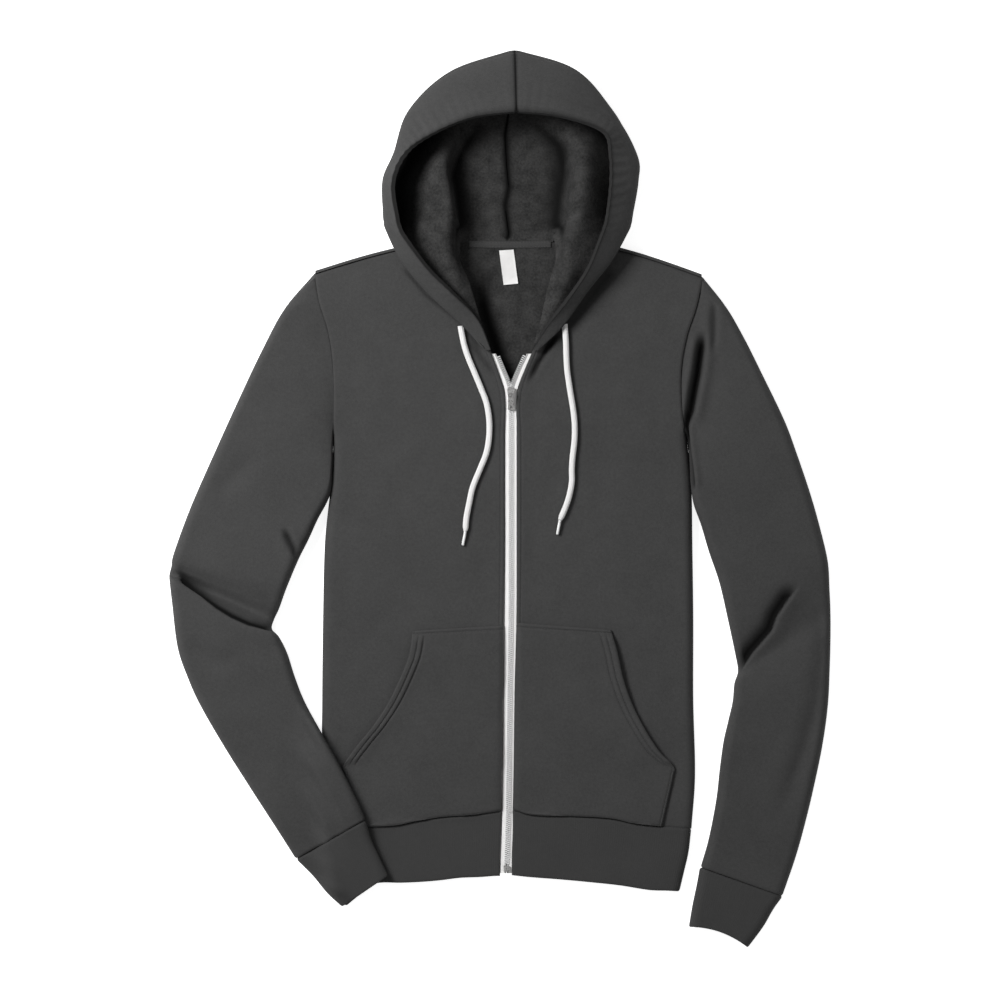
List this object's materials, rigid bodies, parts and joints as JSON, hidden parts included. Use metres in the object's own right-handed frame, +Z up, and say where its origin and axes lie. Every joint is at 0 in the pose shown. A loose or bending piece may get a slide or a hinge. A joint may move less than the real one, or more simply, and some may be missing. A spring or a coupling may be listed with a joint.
{
  "type": "zip up hoodie, laid flat",
  "caption": "Charcoal fleece zip up hoodie laid flat on its back, hood open, pockets, white zip and drawcords; the zip pull turns.",
  "frame": {"origin": "middle of the laid garment's outline, on the surface it lies on", "axes": "+Y from the hem towards the hood, +X towards the wearer's left, +Z up off the surface"},
  "size_m": [0.728, 0.9876, 0.072],
  "materials": {
    "fleece": "fine knit face, brushed inside",
    "rib": "fine ribbed knit",
    "zip_cloth": "woven tape with moulded teeth",
    "cord": "flat white braid",
    "label": "satin woven",
    "nickel": "pale nickel plate"
  },
  "bodies": {
    "garment": {"back": "fleece", "waistband": "rib", "front_right": "fleece", "front_left": "fleece", "sleeve_right": "fleece", "sleeve_left": "fleece", "cuff_right": "rib", "cuff_left": "rib", "pocket_right": "fleece", "pocket_left": "fleece", "hood_right": "fleece", "hood_left": "fleece", "zip_tape_right": "zip_cloth", "zip_tape_left": "zip_cloth", "drawcord_right": "cord", "drawcord_left": "cord", "drawcord_tip_right": "cord", "drawcord_tip_left": "cord", "neck_tape": "fleece", "neck_label": "label", "zip_stop": "nickel", "zip_slider": "nickel"},
    "zip_pull": {"zip_pull": "nickel"}
  },
  "joints": [
    {"name": "pull_hinge", "type": "hinge", "parent": "garment", "child": "zip_pull", "pos_m": [0.0121, 0.1155, 0.0226], "axis": [-1, 0, 0], "range_deg": [0, 190]}
  ]
}
